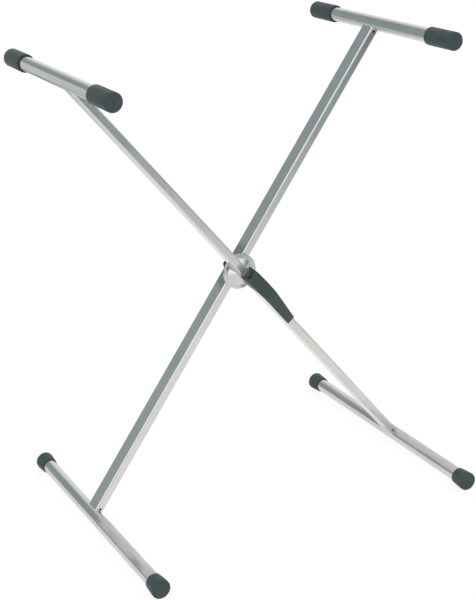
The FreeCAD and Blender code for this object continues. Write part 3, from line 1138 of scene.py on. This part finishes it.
@dataclass
class ClutchDiscs:
    """The two turned discs whose teeth hold the legs apart."""

    radius: float = 31.75 * MM
    hub_radius: float = 8.5 * MM
    bore_radius: float = 4.5 * MM
    tube_face: float = -7.5 * MM
    cone_radius: float = 24.5 * MM
    cone_drop: float = 4.5 * MM
    ring_drop: float = 0.3 * MM
    edge_rounding: float = 1.2 * MM
    corner: float = 0.3 * MM
    crest: float = -0.15 * MM
    lip_width: float = 4 * MM
    lip_drop: float = 0.35 * MM
    pocket_radius: float = 12 * MM
    pocket_depth: float = 4 * MM
    tooth_count: int = 30
    tooth_depth: float = 1.5 * MM
    tooth_sink: float = 0.05 * MM
    groove_share: float = 0.86
    segments: int = 120
    finish: TurnedSteel = TurnedSteel()

    @property
    def mesh_phase(self) -> float:
        """Turn of the rear disc's first groove, which sets its teeth over the front disc's grooves."""
        return math.pi - 2 * STANCE.lean - math.pi / self.tooth_count

    def blank(self) -> bmesh.types.BMesh:
        """Turn a disc without its teeth.

        Returns:
            A closed mesh in the leg's frame.
        """
        lip = self.crest - self.lip_drop
        root = self.crest - self.tooth_depth
        ring = self.radius - self.lip_width
        foot = self.tube_face + self.cone_drop
        outer = rounded([
            (self.bore_radius, self.tube_face, 0), (self.hub_radius, self.tube_face, self.corner),
            (self.cone_radius, foot, self.corner), (self.radius, foot + self.ring_drop, self.edge_rounding),
            (self.radius, lip, self.lip_drop), (ring, lip, 0),
        ])
        floor = self.crest - self.pocket_depth
        inner = [
            (ring, root), (self.pocket_radius, root),
            (self.pocket_radius, floor), (self.bore_radius, floor),
        ]
        return lathe(outer + inner, self.segments, True)

    def tooth(self, phase: float) -> bmesh.types.BMesh:
        """Make one tooth, as wide as the pitch at its root.

        Args:
            phase: turn of the first groove about the pivot.

        Returns:
            A closed mesh.
        """
        half = math.pi / self.tooth_count
        crest_half = half * (1 - self.groove_share)
        root = self.crest - self.tooth_depth - self.tooth_sink
        section = [(-half, root), (-crest_half, self.crest), (crest_half, self.crest), (half, root)]
        body = bmesh.new()
        rings = []
        for radius in (self.pocket_radius, self.radius - self.lip_width):
            ring = []
            for turn, y in section:
                angle = phase + half + turn
                ring.append(body.verts.new((radius * math.cos(angle), y, radius * math.sin(angle))))
            rings.append(ring)
        first, second = rings
        for here in range(len(section)):
            after = (here + 1) % len(section)
            body.faces.new((first[here], first[after], second[after], second[here]))
        body.faces.new(first)
        body.faces.new(second)
        bmesh.ops.recalc_face_normals(body, faces=body.faces)
        return body

    def build(self) -> None:
        """Put a disc on the back of each leg."""
        material = self.finish.material(Grain.ROUND_THE_PIVOT)
        ring_tree = ToothRing()
        for leg, phase in ((Leg.FRONT, 0.0), (Leg.REAR, self.mesh_phase)):
            teeth = ring_tree.apply(self.tooth(phase), Count=self.tooth_count, Material=material)
            body = self.blank()
            body.from_mesh(teeth)
            bpy.data.meshes.remove(teeth)
            body.transform(STANCE.leg_frame(leg))
            node = leg.prefix + "_clutch_disc"
            piece = new_piece("turned_" + node, body, material, sharp=30)
            settle(piece, leg.value, self.finish.slot, node)


@dataclass
class LegWeldments:
    """The tubes of both legs and the weld beads that join them to their bars."""

    tube_width: float = 15 * MM
    tube_depth: float = 30 * MM
    tube_centre: float = -22.5 * MM
    corner_radius: float = 2.5 * MM
    bar_radius: float = 12.5 * MM
    bead_radius: float = 0.85 * MM
    bead_pitch: float = 0.5 * MM
    corner_steps: int = 6
    face_steps: int = 12
    finish: PlatedTube = PlatedTube()
    bar_finish: PlatedTube = PlatedTube(tint=(0.68, 0.668, 0.648), shade=(0.615, 0.614, 0.605))
    weld_finish: PlatedTube = PlatedTube(roughness=0.34, line_length=2 * MM)

    def tube_outline(self) -> list[Vector]:
        """Go round the tube, in steps on its faces that are fine enough to follow the round of a bar.

        Returns:
            Points across the leg.
        """
        half_x = self.tube_width / 2 - self.corner_radius
        half_y = self.tube_depth / 2 - self.corner_radius
        middles = [(half_x, half_y), (-half_x, half_y), (-half_x, -half_y), (half_x, -half_y)]
        arcs = []
        for corner, middle in enumerate(middles):
            arc = []
            for step in range(self.corner_steps + 1):
                turn = (corner + step / self.corner_steps) * math.pi / 2
                arc.append(Vector(middle) + Vector((math.cos(turn), math.sin(turn))) * self.corner_radius)
            arcs.append(arc)
        points = []
        for arc, after in zip(arcs, arcs[1:] + arcs[:1]):
            points += arc
            points += [arc[-1].lerp(after[0], step / self.face_steps) for step in range(1, self.face_steps)]
        return points

    def joint_line(self, reach: float) -> bmesh.types.BMesh:
        """Trace where the tube meets a bar.

        Args:
            reach: place of the bar along the leg; below the pivot it is negative.

        Returns:
            A closed line of edges in the leg's frame.
        """
        line = bmesh.new()
        side = math.copysign(1, reach)
        verts = []
        for point in self.tube_outline():
            rise = math.sqrt(self.bar_radius**2 - point.x**2)
            verts.append(line.verts.new((point.x, self.tube_centre + point.y, reach - side * rise)))
        for first, second in zip(verts, verts[1:] + verts[:1]):
            line.edges.new((first, second))
        return line

    def dress(self, nodes: dict[str, bpy.types.Object]) -> None:
        """Give the tubes their plating.

        Args:
            nodes: the stand's solids by name.
        """
        round_bar = self.bar_finish.material(Grain.ROUND_THE_BAR)
        grains = {Leg.FRONT: Grain.ALONG_FRONT_LEG, Leg.REAR: Grain.ALONG_REAR_LEG}
        for leg, grain in grains.items():
            give_finish(nodes, [leg.prefix + "_leg_tube"], self.finish.material(grain))
            give_finish(nodes, [leg.prefix + "_arm_tube", leg.prefix + "_foot_tube"], round_bar)

    def build(self) -> None:
        """Weld each leg's tube to its arm and its foot."""
        material = self.weld_finish.material(Grain.ROUND_THE_PIVOT)
        bead = WeldBead()
        for leg in Leg:
            body = bmesh.new()
            for seed, reach in enumerate((STANCE.arm_reach, -STANCE.foot_reach)):
                grown = bead.apply(
                    self.joint_line(reach), Pitch=self.bead_pitch, Radius=self.bead_radius,
                    Seed=seed, Material=material,
                )
                body.from_mesh(grown)
                bpy.data.meshes.remove(grown)
            body.transform(STANCE.leg_frame(leg))
            piece = new_piece(leg.prefix + "_leg_welds", body, material, sharp=60)
            settle(piece, leg.value, self.finish.slot)


@dataclass
class ClampHardware:
    """Bolt, nut, washer, pin, saddle, spring and bushes, which only need their finishes, and the thread."""

    thread_radius: float = 3.75 * MM
    thread_pitch: float = 1.25 * MM
    thread_ridge: float = 0.42 * MM
    thread_start: float = 48.6 * MM
    thread_turns: float = 1.4
    plain: PlainSteel = PlainSteel()
    # bolt and pin painted dark to stand for the shade inside the lever's hub, with light painted into their
    # hollows
    hub_shade_steel: PlainSteel = PlainSteel(
        name="hub shade steel", tint=(0.085, 0.105, 0.106), shade=(0.05, 0.066, 0.067),
        hollow_shading=(0.5, 0.56, 0.56), roughness=0.5,
    )
    black: BlackSteel = BlackSteel()
    turned: TurnedSteel = TurnedSteel()

    def dress(self, nodes: dict[str, bpy.types.Object]) -> None:
        """Give the small parts their finishes.

        Args:
            nodes: the stand's solids by name.
        """
        give_finish(nodes, ["release_spring", "front_leg_bush", "rear_leg_bush"], self.plain.material())
        give_finish(nodes, ["clamp_bolt", "cam_pin"], self.hub_shade_steel.material())
        give_finish(nodes, ["lock_nut", "bolt_washer"], self.black.material())
        give_finish(nodes, ["thrust_saddle"], self.turned.material(Grain.ALONG_FRONT_LEG))

    def build(self) -> None:
        """Wind the thread on the end of the bolt, behind the nut."""
        material = self.hub_shade_steel.material()
        height = self.thread_pitch * self.thread_turns
        grown = ScrewThread().apply(
            bmesh.new(), Radius=self.thread_radius, Turns=self.thread_turns, Height=height,
            Ridge=self.thread_ridge, Material=material,
        )
        body = bmesh.new()
        body.from_mesh(grown)
        bpy.data.meshes.remove(grown)
        place = Matrix.Translation((0, self.thread_start, STANCE.pivot_height))
        body.transform(place @ Matrix.Rotation(-math.pi / 2, 4, "X"))
        settle(new_piece("bolt_thread", body, material, sharp=30), "clamp", self.plain.slot)


@dataclass
class ClampLever:
    """The cam lever."""

    finish: GrainedPlastic = GrainedPlastic()

    def dress(self, nodes: dict[str, bpy.types.Object]) -> None:
        """Give the lever its moulded finish.

        Args:
            nodes: the stand's solids by name.
        """
        give_finish(nodes, ["cam_lever"], self.finish.material())


@dataclass(frozen=True)
class Lamp:
    """A soft rectangular lamp in front of the stand, which faces it; the power is in watts."""

    name: str
    place: Place
    size: Span
    power: float

    def hang(self) -> None:
        """Put the lamp in the scene, out of the camera's sight."""
        lamp = bpy.data.lights.new(self.name, "AREA")
        lamp.shape = "RECTANGLE"
        lamp.size, lamp.size_y = self.size
        lamp.energy = self.power
        hung = bpy.data.objects.new(self.name, lamp)
        hung.visible_camera = False
        upright = Vector((0, 1, 0)).to_track_quat("-Z", "Y").to_matrix().to_4x4()
        hung.matrix_world = Matrix.Translation(self.place) @ upright
        bpy.context.scene.collection.objects.link(hung)


@dataclass(frozen=True)
class Card:
    """A bright card on the floor, by its bearing from the stand and how far off it lies."""

    bearing: Span
    reach: Span


@dataclass
class Studio:
    """Floor, soft light and the camera."""

    floor_radius: float = 14.0
    floor_segments: int = 96
    floor_glow: float = 0.86
    floor_albedo: Colour = (0.18, 0.18, 0.18)
    floor_bounce: Colour = (0.8, 0.8, 0.8)
    paper: Colour = (0.945, 0.935, 0.92)
    paper_span: Span = (0.4, 2.9)
    paper_gap: Span = (1.74, 2.14)
    gap_blur: float = 0.07
    gap_side: Span = (0.0, 0.3)
    front_side: Span = (0.3, -0.3)
    gloom: Colour = (0.15, 0.19, 0.2)
    gloom_span: Span = (3.3, 4.1)
    card: Colour = (1.24, 1.23, 1.215)
    cards: tuple[Card, ...] = (
        Card(bearing=(-0.14, 0.07), reach=(0.9, 1.9)),
        Card(bearing=(0.7, 0.82), reach=(2.0, 3.5)),
    )
    card_side_blur: float = 0.04
    card_end_blur: float = 0.1
    backdrop: Colour = (1.0, 1.0, 1.0)
    ambient: Colour = (0.88, 0.88, 0.88)
    bright: Colour = (0.95, 0.945, 0.935)
    front: Colour = (0.60, 0.62, 0.625)
    back_side: Span = (-0.05, 0.2)
    dim: Colour = (0.325, 0.395, 0.41)
    dim_side: Span = (0.38, -0.08)
    dim_top: Span = (0.80, 0.6)
    door: Colour = (0.78, 0.78, 0.775)
    door_sides: Span = (0.31, 0.57)
    door_side_blurs: Span = (0.02, 0.03)
    door_top: Span = (0.255, 0.225)
    window: Colour = (1.4, 1.39, 1.375)
    window_edge: Span = (-0.3, -0.45)
    window_half: float = 0.6
    window_blur: float = 0.15
    window_sill: Span = (0.0, 0.1)
    lamps: tuple[Lamp, ...] = (
        Lamp("key", place=(-0.27, -1.6, 0.5), size=(0.74, 1.0), power=1.75),
        Lamp("fill", place=(0.79, -1.6, 0.645), size=(1.06, 0.22), power=0.56),
    )
    camera_place: Place = (-1.041387, -1.888826, 1.246884)
    camera_right: Place = (0.88694828, -0.45795385, -0.06000847)
    camera_up: Place = (0.20460348, 0.27309778, 0.93997607)
    lens: float = 79.488
    sensor: float = 36.0
    shift: Span = (0.1015, -0.1023)

    def camera(self) -> None:
        """Stand the camera where the photograph was taken from."""
        data = bpy.data.cameras.new("camera")
        data.lens = self.lens
        data.sensor_width = self.sensor
        data.shift_x, data.shift_y = self.shift
        camera = bpy.data.objects.new("camera", data)
        right, up = Vector(self.camera_right), Vector(self.camera_up)
        axes = Matrix((right, up, right.cross(up))).transposed()
        camera.matrix_world = Matrix.Translation(self.camera_place) @ axes.to_4x4()
        bpy.context.scene.collection.objects.link(camera)
        bpy.context.scene.camera = camera

    def wall(self, graph: Graph, across: Expr, away: Expr, up: Expr) -> bpy.types.NodeSocket:
        """Paint the room that metal shows.

        It is pale behind to the right and dim behind to the left, where there is a door. It has a window on
        the left.

        Args:
            graph: the nodes to add to.
            across: part of the direction along X.
            away: part of the direction along Y.
            up: part of the direction along Z.

        Returns:
            A colour socket.
        """
        near_side, far_side = self.door_sides
        near_blur, far_blur = self.door_side_blurs
        door = (across + away * near_side).step(near_blur, -near_blur)
        door = door * (across + away * far_side).step(-far_blur, far_blur) * up.step(*self.door_top)
        back = graph.blend(across.step(*self.dim_side) * up.step(*self.dim_top), self.bright, self.dim)
        back = graph.blend(door, back, self.door)
        room = graph.blend(away.step(*self.back_side), self.front, back)
        glass = away.band(-self.window_half, self.window_half, self.window_blur)
        glass = across.step(*self.window_edge) * glass * up.step(*self.window_sill)
        return graph.blend(glass, room, self.window)

    def floor_shown(self, graph: MaterialGraph) -> bpy.types.NodeSocket:
        """Paint the floor that metal shows.

        It is paper that fades into the room with its distance, has a gap behind the stand and gloom far in
        front, and carries bright cards.

        Args:
            graph: the floor's nodes.

        Returns:
            A colour socket.
        """
        across, away = graph.part(graph.place, "X"), graph.part(graph.place, "Y")
        reach = (across * across + away * away) ** 0.5
        bearing = across / reach
        level = across * 0.0
        front = away.step(*self.front_side)
        room = graph.blend(front, self.wall(graph, bearing, away / reach, level), self.dim)
        shown = graph.blend(reach.step(*self.paper_span), self.paper, room)
        gap = reach.band(*self.paper_gap, self.gap_blur) * away.step(*self.gap_side)
        shown = graph.blend(gap, shown, self.dim)
        shown = graph.blend(reach.step(*self.gloom_span) * front, shown, self.gloom)
        for card in self.cards:
            wide = bearing.band(*card.bearing, self.card_side_blur)
            lies = wide * reach.band(*card.reach, self.card_end_blur) * front
            shown = graph.blend(lies, shown, self.card)
        return shown

    def floor(self) -> None:
        """Lay a pale floor that keeps a faint shadow, and that metal shows in its own way."""
        body = bmesh.new()
        bmesh.ops.create_circle(body, cap_ends=True, segments=self.floor_segments, radius=self.floor_radius)
        material, graph = new_graph("pale floor")
        path = graph.add("ShaderNodeLightPath").outputs
        shown = graph.add("ShaderNodeEmission", None, {"Color": self.floor_shown(graph), "Strength": 1.0})
        white = graph.add("ShaderNodeEmission", None, {"Strength": self.floor_glow})
        matt = graph.add("ShaderNodeBsdfDiffuse", None, {"Color": (*self.floor_albedo, 1.0)})
        seen = graph.add("ShaderNodeAddShader", None, {0: white.outputs[0], 1: matt.outputs[0]})
        bounce = graph.add("ShaderNodeBsdfDiffuse", None, {"Color": (*self.floor_bounce, 1.0)})
        inputs = {0: path["Is Camera Ray"], 1: bounce.outputs[0], 2: seen.outputs[0]}
        lit = graph.add("ShaderNodeMixShader", None, inputs)
        inputs = {0: path["Is Glossy Ray"], 1: lit.outputs[0], 2: shown.outputs[0]}
        mixed = graph.add("ShaderNodeMixShader", None, inputs)
        graph.add("ShaderNodeOutputMaterial", None, {"Surface": mixed.outputs[0]})
        floor = new_piece("floor", body, material, sharp=30)

    def world(self) -> None:
        """Surround the stand with soft white light, and let metal show the room."""
        world = bpy.data.worlds.new("studio")
        bpy.context.scene.world = world
        world.use_nodes = True
        graph = Graph(world.node_tree)
        way = graph.add("ShaderNodeTexCoord").outputs["Generated"]
        room = self.wall(graph, *(graph.part(way, axis) for axis in "XYZ"))
        path = graph.add("ShaderNodeLightPath").outputs
        lit = graph.blend(path["Is Glossy Ray"], self.ambient, room)
        seen = graph.blend(path["Is Camera Ray"], lit, self.backdrop)
        back = graph.add("ShaderNodeBackground", None, {"Color": seen, "Strength": 1.0})
        graph.add("ShaderNodeOutputWorld", None, {"Surface": back.outputs[0]})

    def build(self) -> None:
        """Set up the whole studio."""
        bpy.context.scene.view_settings.view_transform = "Standard"
        self.camera()
        self.floor()
        self.world()
        for lamp in self.lamps:
            lamp.hang()
            LOG.info("lamp %s hangs in front of the stand", lamp.name)


def main() -> None:
    """Load the stand's solids and build its looks round them."""
    logging.basicConfig(level=logging.INFO, format="%(message)s")
    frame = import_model()
    nodes = frame["nodes"]
    legs, hardware, lever = LegWeldments(), ClampHardware(), ClampLever()
    for dressed in (legs, hardware, lever):
        dressed.dress(nodes)
    for built in (RubberEnds(), ClutchDiscs(), legs, hardware, Studio()):
        built.build()


if __name__ == "__main__":
    main()
